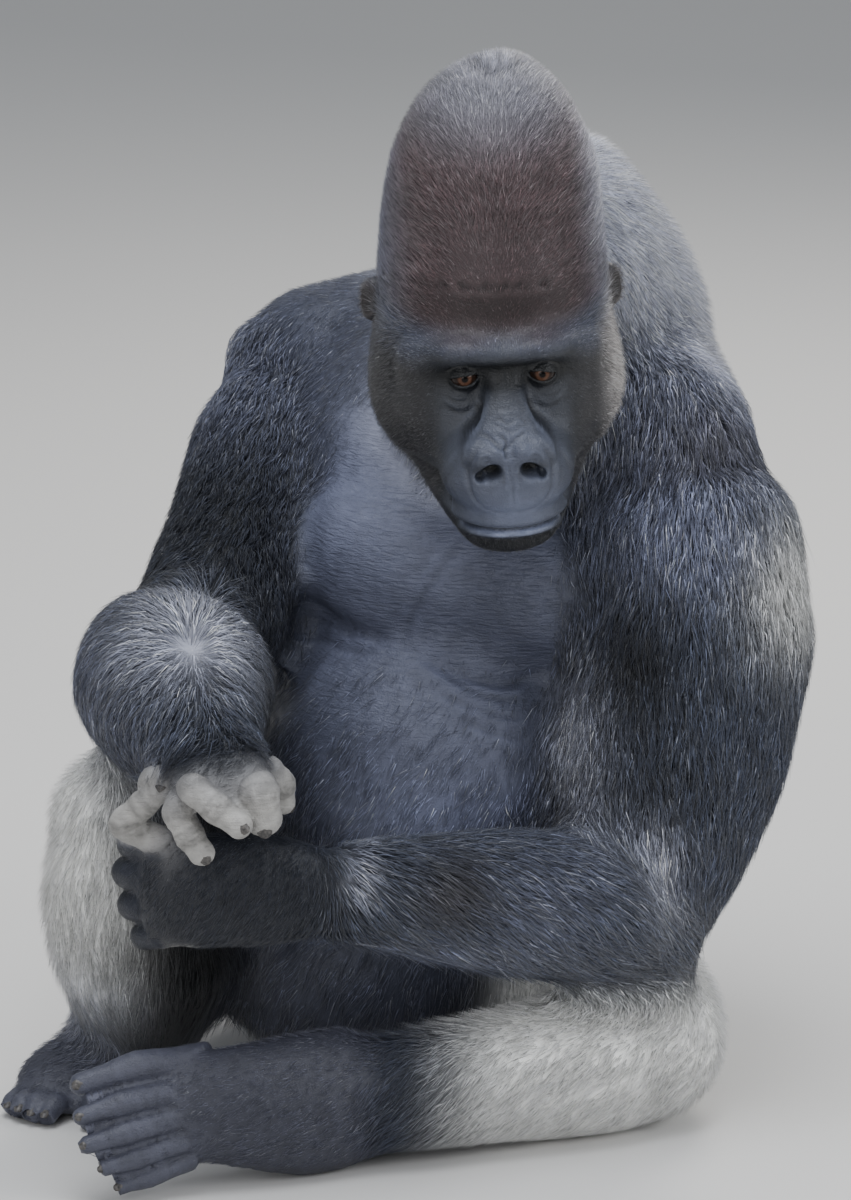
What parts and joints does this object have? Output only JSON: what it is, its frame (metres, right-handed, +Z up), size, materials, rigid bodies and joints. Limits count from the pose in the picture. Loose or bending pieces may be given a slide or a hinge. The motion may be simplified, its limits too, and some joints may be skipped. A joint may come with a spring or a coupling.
{
  "type": "gorilla",
  "caption": "Life-size still model of a seated silverback gorilla, arms folded over its lap, one knee drawn up and the other leg laid across the front.",
  "frame": {"origin": "on the ground, below the middle of the body's bounding box", "axes": "+Z up, the animal faces -Y, +X towards the animal's own left"},
  "size_m": [0.761, 0.8403, 1.0037],
  "materials": {
    "black_coat": "long black hair with silver tips",
    "silver_coat": "dense grey to near-white hair",
    "crown_coat": "short reddish-brown hair",
    "face_skin": "bare black skin with a soft sheen",
    "chest_skin": "bare blue-grey wrinkled skin",
    "finger_skin": "thick pale grey skin",
    "foot_skin": "thick dark grey skin",
    "nail": "dull black nail",
    "eye": "wet amber-brown eye"
  },
  "bodies": {
    "root": {"eye_left": "eye", "eye_right": "eye", "head": "crown_coat", "muzzle": "face_skin", "jaw": "face_skin", "ear_left": "face_skin", "ear_right": "face_skin", "chest": "chest_skin", "abdomen": "black_coat", "neck": "silver_coat", "thigh_left": "silver_coat", "shin_left": "silver_coat", "foot_left": "black_coat", "thigh_right": "silver_coat", "shin_right": "silver_coat", "foot_right": "black_coat", "upper_arm_left": "black_coat", "forearm_left": "black_coat", "hand_left": "black_coat", "upper_arm_right": "black_coat", "forearm_right": "black_coat", "hand_right": "black_coat", "thumb_left": "finger_skin", "finger_left_2": "finger_skin", "finger_left_3": "finger_skin", "finger_left_4": "finger_skin", "finger_left_5": "finger_skin", "thumb_right": "finger_skin", "finger_right_2": "finger_skin", "finger_right_3": "finger_skin", "finger_right_4": "finger_skin", "finger_right_5": "finger_skin", "toe_left_1": "foot_skin", "toe_left_2": "foot_skin", "toe_left_3": "foot_skin", "toe_left_4": "foot_skin", "toe_left_5": "foot_skin", "toe_right_1": "foot_skin", "toe_right_2": "foot_skin", "toe_right_3": "foot_skin", "toe_right_4": "foot_skin", "toe_right_5": "foot_skin"}
  },
  "joints": []
}
